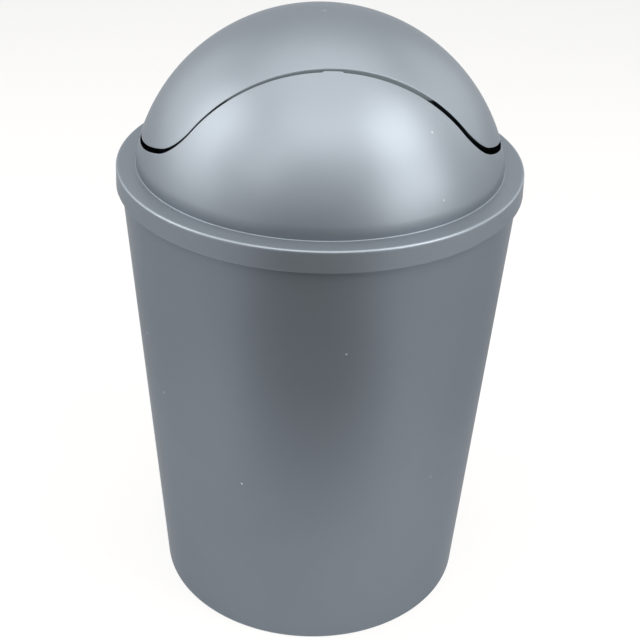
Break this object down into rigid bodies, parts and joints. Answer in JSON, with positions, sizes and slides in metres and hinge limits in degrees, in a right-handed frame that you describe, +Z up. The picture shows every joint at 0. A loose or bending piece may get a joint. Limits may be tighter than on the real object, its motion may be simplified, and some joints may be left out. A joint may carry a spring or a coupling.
{
  "type": "swing-lid trash can",
  "caption": "Tapered round trash can with a lift-off domed hood and a swinging saddle-shaped flap that closes by its own weight.",
  "frame": {"origin": "middle of the floor plane under the bucket", "axes": "+Z up along the bin's axis, -Y towards the front, X along the flap's pins to within 0.9 degree"},
  "size_m": [0.4026, 0.4026, 0.6332],
  "materials": {
    "bucket_plastic": "silver-grey metallic pigment, satin, fine moulded grain",
    "lid_plastic": "silver-grey metallic pigment, satin"
  },
  "bodies": {
    "bin": {"bucket": "bucket_plastic"},
    "lid": {"hood": "lid_plastic"},
    "flap": {"swing_flap": "lid_plastic"}
  },
  "joints": [
    {"name": "lid_lift", "type": "slide", "parent": "bin", "child": "lid", "axis": [0, 0, 1], "range_m": [0, 0.06]},
    {"name": "flap_swing", "type": "hinge", "parent": "lid", "child": "flap", "pos_m": [0, 0, 0.595], "axis": [0.9999, 0.0157, 0], "range_deg": [-50, 50]}
  ]
}
